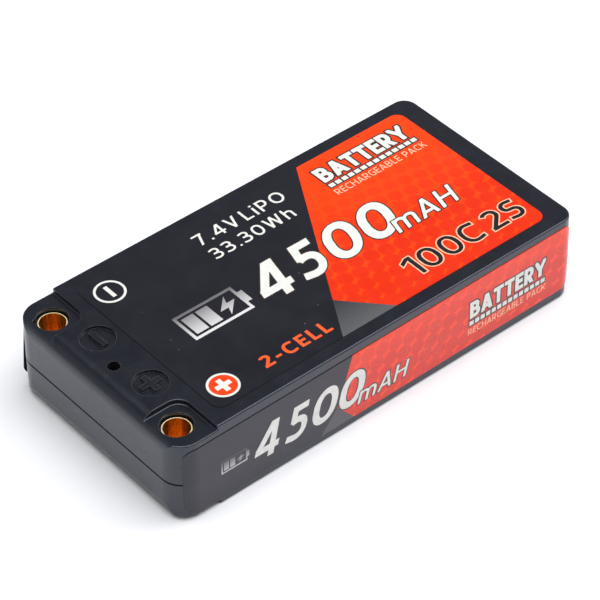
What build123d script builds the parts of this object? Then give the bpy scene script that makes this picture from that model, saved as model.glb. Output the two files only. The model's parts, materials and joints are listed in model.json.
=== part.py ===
from build123d import *
import os
from math import cos, radians, sin, tan

# Hard-case two-cell lithium polymer pack, low-profile "shorty" format. Millimetres.
# Origin: centre of the underside. +X: from the terminal end to the plain end.
# +Y: from the positive terminal's side to the negative terminal's side. +Z: up.

# ---------------------------------------------------------------- driving dimensions
case_length = 94.0            # outside, at the parting plane
case_width = 47.0
case_height = 18.88           # without the top label
terminal_corner = 4.6         # vertical corners at the terminal end
plain_corner = 3.0            # vertical corners at the other end
parting_z = 8.65              # height of the plane where lid and base meet
parting_gap = 0.3             # visible groove between the two shells
draft = 0.6                   # degrees, both shells narrow away from the parting plane
wall = 1.2

step_length = 8.95            # corner platforms round the two sockets, along X
step_inset = 13.2             # half of the full-height bridge between the platforms
step_radius = 2.7
lid_step = 1.0                # how far the lid's platforms lie below its top
base_step = 0.95              # the same relief under the base
lid_roll = 3.0                # large rounding of the bridge at the terminal end
base_roll = 3.0
top_edge = 0.35
bottom_edge = 0.5
step_edge = 0.25              # outer rim of the platforms
step_wall_edge = 0.2          # upper edge of the walls behind the platforms
parting_edge = 0.12
skirt = 0.55                  # the lid's wall outside the base's tongue
tongue_inset = 0.65           # the tongue's outer face, in from the case's outer face
tongue_top_z = 9.95

socket_x = -42.4
socket_y = 17.65
socket_bore = 5.0             # takes a 5 mm bullet plug
socket_outer = 5.5
socket_depth = 12.0
socket_rim_drop = 0.83        # rim lies below the platform
socket_hole = 6.1             # hole in the platform round each socket
balance_x = -42.2
balance_bore = 2.0            # takes a 2 mm balance plug
balance_outer = 3.0
balance_depth = 8.0
balance_hole = 2.4
balance_rim_z = 16.4          # well below the lid's small guide hole
running_gap = 0.05            # between a socket and the collar that holds it
pin_ratio = 0.24              # radius of a socket's board pin, per outer diameter

mark_x = -39.95               # moulded polarity marks beside the sockets
mark_y = 7.5
mark_radius = 3.3
mark_depth = 0.6

label_thickness = 0.12
label_corner = 2.1
top_label_ends = (-35.5, 42.35)
top_label_sides = (-20.5, 20.5)
side_label_height = 15.0
side_label_middle_z = 9.4
near_label_ends = (-45.3, 46.0)
near_label_tilt = 0.5         # degrees, stuck on slightly askew
far_label_ends = (-45.75, 46.0)
far_label_slant = 1.3         # its lifted end comes off the wall further down than up

cell_ends = (-31.0, 44.0)
cell_width = 43.0
cell_thickness = 7.65
pad_thickness = 0.5           # foam under and over the pair of cells
pad_ends = (-23.5, 38.2)
binding_tape_starts = (-28.5, 38.6)
binding_tape_width = 4.5
cell_seal_end = -34.0         # thin sealed margin at the tab end
seal_thickness = 0.3
tab_y = 12.0
tab_width = 8.0
tab_thickness = 0.2
tab_face_x = -36.0            # plane in which the folded tabs meet the links
strip_thickness = 0.3
board_z = (3.2, 4.4)          # underside and upper face of the terminal board
board_copper = 0.07
foot_x = -40.0                # where the strips' feet end on the board

# ---------------------------------------------------------------- worked-out levels
lid_bottom = parting_z + parting_gap / 2
base_top = parting_z - parting_gap / 2
roof_z = case_height - wall
floor_z = wall
lid_platform_z = case_height - lid_step
lid_platform_under_z = lid_platform_z - wall
socket_rim_z = lid_platform_z - socket_rim_drop
end_x = -case_length / 2
step_x = end_x + step_length

lower_cell_z = floor_z + pad_thickness
cell_tape_z = lower_cell_z + cell_thickness
upper_cell_z = roof_z - pad_thickness - cell_thickness
upper_tab_z = upper_cell_z + cell_thickness / 2
lower_tab_z = lower_cell_z + cell_thickness / 2
link_x = (tab_face_x - strip_thickness, tab_face_x)
board_top = board_z[1] + board_copper
beyond = 60.0                 # past every face of the pack


# ---------------------------------------------------------------- small helpers
def block(x, y, z):
    """A box from three (low, high) pairs."""
    size = (x[1] - x[0], y[1] - y[0], z[1] - z[0])
    middle = ((x[0] + x[1]) / 2, (y[0] + y[1]) / 2, (z[0] + z[1]) / 2)
    return Pos(*middle) * Box(*size)


def rod(x, y, z, radius):
    """A vertical cylinder; z is a (low, high) pair."""
    return Pos(x, y, (z[0] + z[1]) / 2) * Cylinder(radius, z[1] - z[0])


def rounded_plate(x, y, z, radius):
    """A flat plate with rounded vertical corners."""
    middle = ((x[0] + x[1]) / 2, (y[0] + y[1]) / 2, z[0])
    outline = RectangleRounded(x[1] - x[0], y[1] - y[0], radius)
    return Pos(*middle) * extrude(outline, amount=z[1] - z[0])


def strip(outline_xz, y_middle, width):
    """A bent metal strip: its edge outline in XZ, given a width along Y."""
    plane = Plane(origin=(0, y_middle + width / 2, 0), x_dir=(1, 0, 0), z_dir=(0, -1, 0))
    return extrude(plane * make_face(Polyline(*outline_xz, close=True)), amount=width)


def mirrored_pair(shape):
    """A shape and its mirror image across the pack's middle plane, as one compound."""
    return shape + mirror(shape, about=Plane.XZ)


def save(node, shape):
    """Write one sub-part as its own STEP file."""
    shape.label = node
    export_step(shape, f"parts/{node}.step")


# ---------------------------------------------------------------- the two shells
def half_block(height, inset, upward, extra_length=0.0):
    """One drafted half of the case's outer form, shrunk by inset on every side wall.

    extra_length lengthens it past the terminal end, so that its long walls run on straight.
    """
    outline = Rectangle(case_length - 2 * inset + extra_length, case_width - 2 * inset)
    corners = outline.vertices().sort_by(Axis.X)
    outline = fillet(corners[:2], terminal_corner - inset)
    corners = outline.vertices().sort_by(Axis.X)
    outline = fillet(corners[-2:], plain_corner - inset)
    facing = Plane(
        origin=(-extra_length / 2, 0, parting_z), x_dir=(1, 0, 0), z_dir=(0, 0, 1 if upward else -1)
    )
    return extrude(facing * outline, amount=height, taper=draft)


def end_roll(radius, upward, inset=0.0):
    """What a large rounding takes off the terminal end's upper or lower edge.

    With an inset it rounds the same edge of a form that is shrunk by that much.
    """
    drafted = tan(radians(draft))
    if upward:
        edge_z = case_height - inset
        edge_x = end_x + inset + drafted * (case_height - parting_z)
        sign = 1
    else:
        edge_z = inset
        edge_x = end_x + inset + drafted * parting_z
        sign = -1
    centre = (edge_x + radius, edge_z - sign * radius)
    reach = 2.0
    corner = block(
        (edge_x - reach, centre[0]),
        (-case_width, case_width),
        sorted((centre[1], edge_z + sign * reach)),
    )
    roll = Pos(centre[0], 0, centre[1]) * Rot(90, 0, 0) * Cylinder(radius, 3 * case_width)
    return corner - roll


def corner_relief(z, grow=0.0):
    """The two corner volumes at the terminal end, over or under the platforms."""
    past = 5.0
    relief = rounded_plate(
        (end_x - past, step_x + grow),
        (step_inset - grow, case_width),
        z,
        step_radius + grow,
    )
    square_end = block((end_x - past, end_x + 1.0), (step_inset - grow, case_width), z)
    return mirrored_pair(relief + square_end)


def level_edges(shell, z):
    """The edges that lie flat at one height."""
    flat = []
    for edge in shell.edges():
        box = edge.bounding_box()
        if abs(box.min.Z - z) < 1e-4 and abs(box.max.Z - z) < 1e-4:
            flat.append(edge)
    return flat


def is_outer(edge):
    """True for an edge along a long wall or the plain end."""
    middle = edge @ 0.5
    return abs(middle.Y) > case_width / 2 - 1.0 or middle.X > case_length / 2 - 1.2


def is_step_wall(edge):
    """True for an edge along the walls behind the corner platforms."""
    middle = edge @ 0.5
    return middle.X < step_x + 0.01 and abs(middle.Y) > step_inset - 0.01


def is_platform_rim(edge):
    """True for an edge along the outer rim of a corner platform."""
    middle = edge @ 0.5
    return abs(middle.Y) > case_width / 2 - 1.6 or middle.X < end_x + 1.6


def outer_form(upward, face_z, platform_z, roll, edge_radius):
    """The solid outer form of the lid (upward) or the base, with all its outside edges eased."""
    height = abs(face_z - parting_z)
    form = half_block(height, 0.0, upward)
    if upward:
        rim_z = lid_bottom
        groove = (parting_z - 1, lid_bottom)
        relief = (platform_z, face_z + 1)
    else:
        rim_z = base_top
        groove = (base_top, parting_z + 1)
        relief = (face_z - 1, platform_z)
    form -= block((-beyond, beyond), (-beyond, beyond), groove)
    form = fillet(level_edges(form, rim_z), parting_edge)
    form -= corner_relief(relief)
    form = fillet(list(filter(is_step_wall, level_edges(form, face_z))), step_wall_edge)
    form = fillet(list(filter(is_outer, level_edges(form, face_z))), edge_radius)
    form -= end_roll(roll, upward)
    return fillet(list(filter(is_platform_rim, level_edges(form, platform_z))), step_edge)


def moulded_mark(side, cross):
    """A shallow round recess with a raised minus or plus left standing in it."""
    top = case_height
    recess = rod(mark_x, side * mark_y, (top - mark_depth, top + 1.0), mark_radius)
    bar_length = 4.3
    bar_width = 1.15
    bar = Pos(mark_x, side * mark_y, top) * Box(bar_width, bar_length, 4 * mark_depth)
    if cross:
        bar += Pos(mark_x, side * mark_y, top) * Box(bar_length, bar_width, 4 * mark_depth)
    return recess - bar


def make_case_lid():
    outer = outer_form(True, case_height, lid_platform_z, lid_roll, top_edge)
    cavity = half_block(roof_z - parting_z, wall, True)
    cavity -= corner_relief((lid_platform_under_z, roof_z + 1), wall)
    cavity -= end_roll(lid_roll - wall, True, wall)
    lid = outer - cavity
    lid -= half_block(tongue_top_z + 0.1 - parting_z, skirt, True)

    # collars under the roof hold the three sockets upright
    collar_bottom = 12.5
    collar_pair = mirrored_pair(
        rod(socket_x, socket_y, (collar_bottom, lid_platform_under_z + 0.2), 3.85)
    )
    lid += collar_pair & half_block(case_height - parting_z, 0.0, True)
    lid += rod(balance_x, 0, (collar_bottom + 1.5, roof_z + 0.2), 2.7)

    hole_z = (socket_rim_z - 0.6, case_height)
    for y in (-socket_y, socket_y):
        lid -= rod(socket_x, y, hole_z, socket_hole / 2)
        lid -= rod(socket_x, y, (10, case_height), socket_outer / 2 + running_gap)
    # a small relief cut beside the negative socket's hole
    notch_angle = radians(150)
    notch_reach = socket_hole / 2
    lid -= rod(
        socket_x + notch_reach * cos(notch_angle),
        socket_y + notch_reach * sin(notch_angle),
        hole_z,
        0.55,
    )
    lid -= rod(balance_x, 0, (10, case_height + 1), balance_hole / 2)
    lid -= rod(balance_x, 0, (10, balance_rim_z + running_gap), balance_outer / 2 + running_gap)
    lid -= moulded_mark(1, False)
    lid -= moulded_mark(-1, True)
    return lid


def make_case_base():
    base = outer_form(False, 0.0, base_step, base_roll, bottom_edge)
    cavity = half_block(parting_z - floor_z, wall, False)
    cavity -= corner_relief((floor_z - 1, base_step + wall), wall)
    cavity -= end_roll(base_roll - wall, False, wall)
    base -= cavity

    # the tongue: the inner part of the wall carries on up inside the lid's skirt
    tongue = half_block(tongue_top_z - parting_z, tongue_inset, True)
    tongue += half_block(0.5, tongue_inset, False)
    tongue -= half_block(tongue_top_z - parting_z, wall, True)
    tongue -= half_block(0.5, wall, False)
    base += tongue

    # short posts carry the terminal board
    for side in (-1, 1):
        base += rod(-39.6, side * 19.8, (base_step + wall - 0.2, board_z[0]), 1.2)
        base += rod(-43.5, side * 9.0, (floor_z - 0.2, board_z[0]), 1.2)
    return base


def make_seam_adhesive():
    ring = half_block(tongue_top_z - parting_z, skirt, True)
    ring -= half_block(tongue_top_z - parting_z, tongue_inset, True)
    return ring - block((-beyond, beyond), (-beyond, beyond), (parting_z - 1, lid_bottom))


# ---------------------------------------------------------------- labels
def make_top_label():
    z = (case_height, case_height + label_thickness)
    return rounded_plate(top_label_ends, top_label_sides, z, label_corner)


def side_label(side, outline, straight_end):
    """A thin sticker that follows one long wall and bridges the parting groove.

    Its outline is drawn in X and Z, about the middle of the wall.
    """
    extra = 30.0 if straight_end else 0.0
    above = 9.5
    below = 8.5
    skin = half_block(above, -label_thickness, True, extra)
    skin += half_block(below, -label_thickness, False, extra)
    skin -= half_block(above, 0.0, True, extra)
    skin -= half_block(below, 0.0, False, extra)
    plane = Plane(origin=(0, side * 10, side_label_middle_z), x_dir=(1, 0, 0), z_dir=(0, -1, 0))
    prism = extrude(plane * outline, amount=-side * 30)
    return skin & prism


def make_near_side_label():
    start, end = near_label_ends
    outline = RectangleRounded(end - start, side_label_height, label_corner)
    outline = Pos((start + end) / 2, 0) * Rot(0, 0, near_label_tilt) * outline
    return side_label(-1, outline, False)


def make_far_side_label():
    """Its end at the terminals has lifted: it runs on straight past the rounded corner."""
    start, end = far_label_ends
    half = side_label_height / 2
    corners = [(start, -half), (end, -half), (end, half), (start + far_label_slant, half)]
    outline = make_face(Polyline(*corners, close=True))
    outline = fillet(outline.vertices(), label_corner)
    return side_label(1, outline, True)


# ---------------------------------------------------------------- sockets and board
def socket(x, y, rim_z, outer, bore, depth):
    """A plated tube with a closed bottom and a pin that goes through the board."""
    tube = rod(x, y, (board_top, rim_z), outer / 2)
    top = tube.edges().filter_by(GeomType.CIRCLE).sort_by(Axis.Z)[-1]
    tube = chamfer(top, 0.1)
    tube -= rod(x, y, (rim_z - depth, rim_z + 1), bore / 2)
    return tube + rod(x, y, (board_z[0] - 0.35, board_top + 0.2), pin_ratio * outer)


def make_terminal_socket(side):
    return socket(
        socket_x, side * socket_y, socket_rim_z, socket_outer, socket_bore, socket_depth
    )


def make_balance_socket():
    return socket(balance_x, 0, balance_rim_z, balance_outer, balance_bore, balance_depth)


def pin_clearance():
    """The holes for the three socket pins."""
    free = 0.08
    holes = mirrored_pair(rod(socket_x, socket_y, (0, 10), pin_ratio * socket_outer + free))
    return holes + rod(balance_x, 0, (0, 10), pin_ratio * balance_outer + free)


def make_terminal_board():
    board = rounded_plate((-45.4, -37.4), (-21.4, 21.4), board_z, 2.6)
    return board - pin_clearance()


def make_board_copper():
    z = (board_z[1], board_top)
    power_pad = rounded_plate((-45.0, -37.7), (8.6, 21.0), z, 2.2)
    balance_pad = rounded_plate((-44.6, -37.7), (-2.4, 2.4), z, 0.8)
    return mirrored_pair(power_pad) + balance_pad - pin_clearance()


def solder_cone(x, y, pin_radius):
    height = 0.7
    cone = Pos(x, y, board_z[0] - height / 2) * Cone(pin_radius + 0.35, pin_radius + 0.8, height)
    return cone - rod(x, y, (board_z[0] - height / 2, board_z[0] + 1), pin_radius)


def make_socket_solder():
    pair = mirrored_pair(solder_cone(socket_x, socket_y, pin_ratio * socket_outer))
    return pair + solder_cone(balance_x, 0, pin_ratio * balance_outer)


# ---------------------------------------------------------------- cells
def make_cell(bottom_z):
    half = cell_width / 2
    top_z = bottom_z + cell_thickness
    middle_z = (bottom_z + top_z) / 2
    body = block(cell_ends, (-half, half), (bottom_z, top_z))
    body = fillet(body.edges(), 1.2)
    seal = block(
        (cell_seal_end, cell_ends[0] + 1.5),
        (-half + 1.5, half - 1.5),
        (middle_z - seal_thickness / 2, middle_z + seal_thickness / 2),
    )
    # the two side seals are folded flat against the pouch
    folded_height = 5.0
    folded = block(
        (cell_ends[0] + 1.5, cell_ends[1] - 1.5),
        (half - 0.1, half + 0.25),
        (middle_z - folded_height / 2, middle_z + folded_height / 2),
    )
    return body + seal + mirrored_pair(folded)


def make_cell_tab(bottom_z, side):
    middle_z = bottom_z + cell_thickness / 2
    low = middle_z - tab_thickness / 2
    high = middle_z + tab_thickness / 2
    fold_top = middle_z + 2.5
    inner = tab_face_x + tab_thickness
    outline = [
        (cell_seal_end, low), (tab_face_x, low), (tab_face_x, fold_top),
        (inner, fold_top), (inner, high), (cell_seal_end, high),
    ]
    return strip(outline, side * tab_y, tab_width)


def make_tab_films(bottom_z):
    """Polymer films that seal each tab above and below where it leaves the pouch."""
    middle_z = bottom_z + cell_thickness / 2
    film = 0.12
    films = None
    for side in (-1, 1):
        for direction in (-1, 1):
            near = middle_z + direction * tab_thickness / 2
            layer = block(
                (cell_seal_end - 1.2, cell_seal_end),
                (side * tab_y - 5.2, side * tab_y + 5.2),
                sorted((near, near + direction * film)),
            )
            films = layer if films is None else films + layer
    return films


def make_cell_tape():
    return block(pad_ends, (-18, 18), (cell_tape_z, upper_cell_z))


def make_foam_pad(z):
    return rounded_plate(pad_ends, (-19, 19), z, 1.5)


def make_end_foam():
    z = (2.0, 16.8)
    thickness = case_length / 2 - wall - cell_ends[1] - 0.25
    return block((cell_ends[1], cell_ends[1] + thickness), (-18, 18), z)


def make_binding_tape(x):
    """One turn of tape round both cells."""
    gap = 0.02
    film = 0.1
    half = cell_width / 2 + 0.25 + gap
    z = (lower_cell_z - gap, upper_cell_z + cell_thickness + gap)
    band = block(
        (x, x + binding_tape_width), (-half - film, half + film), (z[0] - film, z[1] + film)
    )
    return band - block((x - 1, x + binding_tape_width + 1), (-half, half), z)


# ---------------------------------------------------------------- links between them
def make_series_link():
    """Joins the upper cell's negative tab to the lower cell's positive tab."""
    upper = (upper_tab_z - 0.6, upper_tab_z + 2.5)
    lower = (lower_tab_z - 0.3, lower_tab_z + 2.5)
    inner = tab_y - tab_width / 2
    outer = tab_y + tab_width / 2
    outline = Polyline(
        (outer, upper[0]), (outer, upper[1]), (inner, upper[1]), (-inner, lower[1]),
        (-outer, lower[1]), (-outer, lower[0]), (-inner, lower[0]), (inner, upper[0]),
        close=True,
    )
    plane = Plane(origin=(link_x[0], 0, 0), x_dir=(0, 1, 0), z_dir=(1, 0, 0))
    return extrude(plane * make_face(outline), amount=strip_thickness)


def make_positive_busbar():
    """Runs from the upper cell's positive tab down to the positive side of the board."""
    t = strip_thickness
    drop_x = -39.0
    level = upper_tab_z - 1.6
    foot = board_top
    outline = [
        (link_x[1], upper_tab_z + 2.5), (link_x[0], upper_tab_z + 2.5), (link_x[0], level + t),
        (drop_x - t, level + t), (drop_x - t, foot + t), (foot_x, foot + t), (foot_x, foot),
        (drop_x, foot), (drop_x, level), (link_x[1], level),
    ]
    return strip(outline, -tab_y, 6.0)


def make_negative_busbar():
    """Runs from the lower cell's negative tab to the negative side of the board."""
    t = strip_thickness
    foot = board_top
    outline = [
        (link_x[1], lower_tab_z + 2.5), (link_x[0], lower_tab_z + 2.5), (link_x[0], foot + t),
        (foot_x, foot + t), (foot_x, foot), (link_x[1], foot),
    ]
    return strip(outline, tab_y, 6.0)


def make_balance_tap():
    """A narrow strip from the middle of the series link to the balance pad."""
    t = 0.15
    x = link_x[0]
    foot = board_top
    middle_z = (upper_tab_z + lower_tab_z) / 2
    outline = [
        (x, middle_z + 1.8), (x - t, middle_z + 1.8), (x - t, foot + t),
        (foot_x - 0.5, foot + t), (foot_x - 0.5, foot), (x, foot),
    ]
    return strip(outline, 0.0, 2.0)


def make_link_insulation():
    """Polyimide tape over the upper end of the series link."""
    x = (link_x[0] - 0.08, link_x[0])
    z = (upper_tab_z - 0.5, upper_tab_z + 2.4)
    return block(x, (tab_y - 3.9, tab_y + 3.9), z)


def make_foot_solder():
    """Solder along the front edge of each strip's foot on the board."""
    outline = [(foot_x, board_top), (foot_x, board_top + 0.28), (foot_x - 0.5, board_top)]
    return mirrored_pair(strip(outline, tab_y, 5.2))


# ---------------------------------------------------------------- everything
os.makedirs("parts", exist_ok=True)

save("case_lid", make_case_lid())
save("case_base", make_case_base())
save("seam_adhesive", make_seam_adhesive())
save("top_label", make_top_label())
save("near_side_label", make_near_side_label())
save("far_side_label", make_far_side_label())
save("positive_socket", make_terminal_socket(-1))
save("negative_socket", make_terminal_socket(1))
save("balance_socket", make_balance_socket())
save("terminal_board", make_terminal_board())
save("board_copper", make_board_copper())
save("socket_solder", make_socket_solder())
save("foot_solder", make_foot_solder())
for cell_name, cell_z in (("upper_cell", upper_cell_z), ("lower_cell", lower_cell_z)):
    save(cell_name, make_cell(cell_z))
    save(f"{cell_name}_positive_tab", make_cell_tab(cell_z, -1))
    save(f"{cell_name}_negative_tab", make_cell_tab(cell_z, 1))
    save(f"{cell_name}_tab_films", make_tab_films(cell_z))
save("series_link", make_series_link())
save("positive_busbar", make_positive_busbar())
save("negative_busbar", make_negative_busbar())
save("balance_tap", make_balance_tap())
save("link_insulation", make_link_insulation())
save("cell_tape", make_cell_tape())
save("top_foam_pad", make_foam_pad((roof_z - pad_thickness, roof_z)))
save("bottom_foam_pad", make_foam_pad((floor_z, floor_z + pad_thickness)))
save("end_foam_pad", make_end_foam())
for tape_name, tape_x in zip(("front", "rear"), binding_tape_starts):
    save(f"{tape_name}_binding_tape", make_binding_tape(tape_x))
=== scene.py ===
import bmesh
import bpy
import json
import math
import numpy as np
from mathutils import Matrix, Vector


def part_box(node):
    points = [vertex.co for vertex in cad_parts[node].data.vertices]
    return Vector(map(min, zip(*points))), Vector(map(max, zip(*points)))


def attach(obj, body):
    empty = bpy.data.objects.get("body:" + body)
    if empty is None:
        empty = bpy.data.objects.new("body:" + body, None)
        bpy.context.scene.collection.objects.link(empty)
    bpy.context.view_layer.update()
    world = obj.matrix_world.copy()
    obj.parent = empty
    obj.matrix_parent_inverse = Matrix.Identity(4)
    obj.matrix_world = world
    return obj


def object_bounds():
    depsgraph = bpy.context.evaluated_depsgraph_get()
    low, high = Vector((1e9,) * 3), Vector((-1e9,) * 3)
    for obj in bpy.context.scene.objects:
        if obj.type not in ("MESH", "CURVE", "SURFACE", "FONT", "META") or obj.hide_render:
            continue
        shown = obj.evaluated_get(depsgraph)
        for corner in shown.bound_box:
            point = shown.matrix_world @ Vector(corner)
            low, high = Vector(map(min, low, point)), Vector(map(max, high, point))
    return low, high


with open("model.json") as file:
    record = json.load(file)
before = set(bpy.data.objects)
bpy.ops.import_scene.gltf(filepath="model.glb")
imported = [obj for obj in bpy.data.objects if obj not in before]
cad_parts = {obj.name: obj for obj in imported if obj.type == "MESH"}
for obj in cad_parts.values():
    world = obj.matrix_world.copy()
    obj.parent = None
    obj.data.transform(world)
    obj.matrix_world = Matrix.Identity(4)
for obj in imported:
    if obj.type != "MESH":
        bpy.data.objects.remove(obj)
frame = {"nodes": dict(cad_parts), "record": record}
nodes = frame["nodes"]
cad_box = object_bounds()

# Lengths are in millimetres unless a name says otherwise; MM turns them into metres.
MM = 0.001
DRAFT = math.tan(math.radians(0.6))       # the case's walls narrow away from the parting plane
PARTING_Z = 8.65
LABEL_TOP_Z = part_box("top_label")[1].z / MM
SOCKET_RIM_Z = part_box("positive_socket")[1].z / MM
SIDE_SKIN_Y = -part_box("near_side_label")[0].y / MM

# Coloured zones of the labels. A zone's edge runs through two points: (x, y) on the top and
# (x, z) on the sides, where the black zone's edge bends at SIDE_BEND.
TOP_BLACK_EDGE = ((-7.31, -20.48), (16.72, 20.40))
TOP_GREY_EDGE = ((5.25, -20.43), (-2.27, -12.13))
SIDE_BEND = (-11.30, 6.43)
SIDE_UPPER_EDGE = ((-7.81, 16.56), SIDE_BEND)
SIDE_LOWER_EDGE = (SIDE_BEND, (-15.12, 1.75))
SIDE_GREY_EDGE = (SIDE_BEND, (-7.21, 1.75))
HALFTONE_ALONG = (3.25, -0.59)            # from a dot to the next one in its row
HALFTONE_DOWN = (-1.20, -2.86)            # from a dot to the one in the row below
TOP_DOTS_START = (3.08, -9.07)            # where one dot of each label's halftone lies
SIDE_DOTS_START = (13.0, 5.7)

# Lettering. A style is the pen's width and the space between two letters, as shares of the
# letters' height.
NAME_STYLE = (0.225, 0.06)
DIGIT_STYLE = (0.178, 0.0)
UNIT_STYLE = (0.140, 0.13)
RATING_STYLE = (0.145, 0.13)
VALUE_STYLE = (0.135, 0.21)
SMALL_STYLE = (0.12, 0.15)
CODE_STYLE = (0.185, 0.22)
ITALIC = 0.22                             # sideways lean of the slanted print, per unit of height
LABEL_TILT = math.radians(0.5)            # the side labels' print runs slightly uphill
CAPACITY = "4500"
NAME = "BATTERY"
SMALL_PRINT = "RECHARGEABLE PACK"
DIGIT_OUTLINE = 0.24

# Heights of the printed films over the label, from the lowest ink to the uppermost.
UNDER_FILM = 0.012
FILM = 0.020
OVER_OUTLINE = 0.027
OVER_FILM = 0.034
FILM_FOOT = -0.01                         # every film's underside lies just inside the label


# ================================================================ node graphs
class Graph:
    """A material's node tree, with short calls for the nodes that the materials here use."""

    def __init__(self, name):
        self.material = bpy.data.materials.new(name)
        self.material.use_nodes = True
        self.tree = self.material.node_tree
        self.shader = self.tree.nodes["Principled BSDF"]
        self.coordinates = None

    def node(self, kind, **settings):
        made = self.tree.nodes.new("ShaderNode" + kind)
        for key, value in settings.items():
            setattr(made, key, value)
        return made

    def put(self, socket, value):
        """Link a node's output to the socket, or set the socket to a plain value."""
        if isinstance(value, bpy.types.NodeSocket):
            self.tree.links.new(value, socket)
        else:
            socket.default_value = value

    def shade(self, **inputs):
        """Set or link inputs of the Principled shader; underscores stand for spaces."""
        for key, value in inputs.items():
            self.put(self.shader.inputs[key.replace("_", " ")], value)

    def mm(self):
        """Object coordinates in millimetres."""
        if self.coordinates is None:
            source = self.node("TexCoord").outputs["Object"]
            scaled = self.node("VectorMath", operation="SCALE")
            self.put(scaled.inputs[0], source)
            self.put(scaled.inputs["Scale"], 1.0 / MM)
            self.coordinates = scaled.outputs[0]
        return self.coordinates

    def stretched(self, x, y, z, turn=0.0):
        """The millimetre coordinates, scaled along each axis, for grain that runs one way."""
        made = self.node("Mapping")
        self.put(made.inputs["Vector"], self.mm())
        made.inputs["Scale"].default_value = (x, y, z)
        made.inputs["Rotation"].default_value = (0.0, 0.0, turn)
        return made.outputs[0]

    def axes(self):
        """The millimetre coordinates' x, y and z, one by one."""
        made = self.node("SeparateXYZ")
        self.put(made.inputs[0], self.mm())
        return made.outputs

    def math(self, operation, a, b=0.0, c=0.0):
        made = self.node("Math", operation=operation)
        for socket, value in zip(made.inputs, (a, b, c)):
            self.put(socket, value)
        return made.outputs[0]

    def noise(self, per_mm, detail=3.0, roughness=0.5, vector=None, distortion=0.0):
        """Cloudy noise from 0 to 1, on the millimetre coordinates or on a stretched vector."""
        made = self.node("TexNoise")
        self.put(made.inputs["Vector"], self.mm() if vector is None else vector)
        made.inputs["Scale"].default_value = per_mm
        made.inputs["Detail"].default_value = detail
        made.inputs["Roughness"].default_value = roughness
        made.inputs["Distortion"].default_value = distortion
        return made.outputs["Fac"]

    def cells(self, per_mm):
        """Distance to the nearest of many scattered points."""
        made = self.node("TexVoronoi")
        self.put(made.inputs["Vector"], self.mm())
        made.inputs["Scale"].default_value = per_mm
        return made.outputs["Distance"]

    def span(self, value, low, high, to_low=0.0, to_high=1.0, smooth=False):
        """Map a range of the value onto another range, held at its ends."""
        made = self.node("MapRange", interpolation_type="SMOOTHSTEP" if smooth else "LINEAR")
        for key, number in (
            ("Value", value), ("From Min", low), ("From Max", high),
            ("To Min", to_low), ("To Max", to_high),
        ):
            self.put(made.inputs[key], number)
        return made.outputs["Result"]

    def mix(self, factor, a, b):
        """Colour a where the factor is 0 and b where it is 1."""
        made = self.node("Mix", data_type="RGBA")
        self.put(made.inputs["Factor"], factor)
        for socket, colour in ((made.inputs[6], a), (made.inputs[7], b)):
            if isinstance(colour, bpy.types.NodeSocket):
                self.put(socket, colour)
            else:
                socket.default_value = (*colour, 1.0)
        return made.outputs[2]

    def bump(self, height, depth, normal=None):
        """Bump from a 0 to 1 height; depth is in millimetres."""
        made = self.node("Bump")
        made.inputs["Distance"].default_value = depth * MM
        self.put(made.inputs["Height"], height)
        if normal is not None:
            self.put(made.inputs["Normal"], normal)
        return made.outputs[0]

    def specks(self, colour, dust):
        """A few grains of pale dust scattered over the colour."""
        grain = self.span(self.cells(0.35), 0.030, 0.018)
        return self.mix(grain, colour, dust)

    def edge_highlight_and_wear(self, radius, spread):
        """A mask that is 1 on sharp outer edges, broken up by noise; it carries a painted edge
        highlight that also stands for wear.
        """
        bevel = self.node("Bevel", samples=6)
        bevel.inputs["Radius"].default_value = radius * MM
        geometry = self.node("NewGeometry")
        turn = self.node("VectorMath", operation="DOT_PRODUCT")
        self.put(turn.inputs[0], bevel.outputs[0])
        self.put(turn.inputs[1], geometry.outputs["Normal"])
        bent = self.span(turn.outputs["Value"], 0.995, 0.9, 0.0, 1.0)
        broken = self.span(self.noise(spread, 4.0, 0.65), 0.35, 0.7, 0.15, 1.0)
        return self.math("MULTIPLY", bent, broken)


# ================================================================ materials
def case_plastic():
    """Moulded charcoal plastic: fine eroded grain, faint handling marks, and sharp edges painted
    lighter as a painted highlight that also stands for wear from rubbing.
    """
    g = Graph("case_plastic")
    cloud = g.noise(0.09, 4.0, 0.6)
    tone = g.mix(cloud, (0.0050, 0.0056, 0.0094), (0.0078, 0.0086, 0.0140))
    highlight_and_wear = g.edge_highlight_and_wear(0.12, 0.8)
    scratches = g.span(g.noise(1.0, 2.0, 0.5, g.stretched(0.05, 9.0, 2.0, 0.5)), 0.70, 0.78)
    # Sharp edges painted lighter: a painted highlight, partly also wear from rubbing.
    colour = g.mix(g.math("MULTIPLY", highlight_and_wear, 0.40), tone, (0.42, 0.43, 0.46))
    colour = g.mix(g.math("MULTIPLY", scratches, 0.10), colour, (0.10, 0.10, 0.11))
    smudge = g.noise(0.22, 3.0, 0.55, distortion=0.6)
    fine = g.noise(5.5, 2.0, 0.6)
    handled = g.span(smudge, 0.3, 0.7, 0.22, 0.29)
    roughness = g.math("ADD", handled, g.span(fine, 0.3, 0.7, -0.02, 0.02))
    colour = g.specks(colour, (0.30, 0.30, 0.31))
    grain = g.bump(fine, 0.0022)
    waves = g.bump(g.noise(0.16, 2.0, 0.4), 0.05, grain)
    g.shade(Base_Color=colour, Roughness=roughness, Normal=waves, IOR=1.66)
    g.shade(Specular_Tint=(0.80, 0.85, 1.0, 1.0))
    return g.material


def beyond_line(g, x, height, edge):
    """1 on the side of a slanted edge where x is larger; the edge is two points (x, height)."""
    (x0, height0), (x1, height1) = edge
    slope = (x1 - x0) / (height1 - height0)
    edge_x = g.math("MULTIPLY_ADD", height, slope, x0 - slope * height0)
    softness = 0.06
    return g.span(g.math("SUBTRACT", x, edge_x), -softness, softness)


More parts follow.
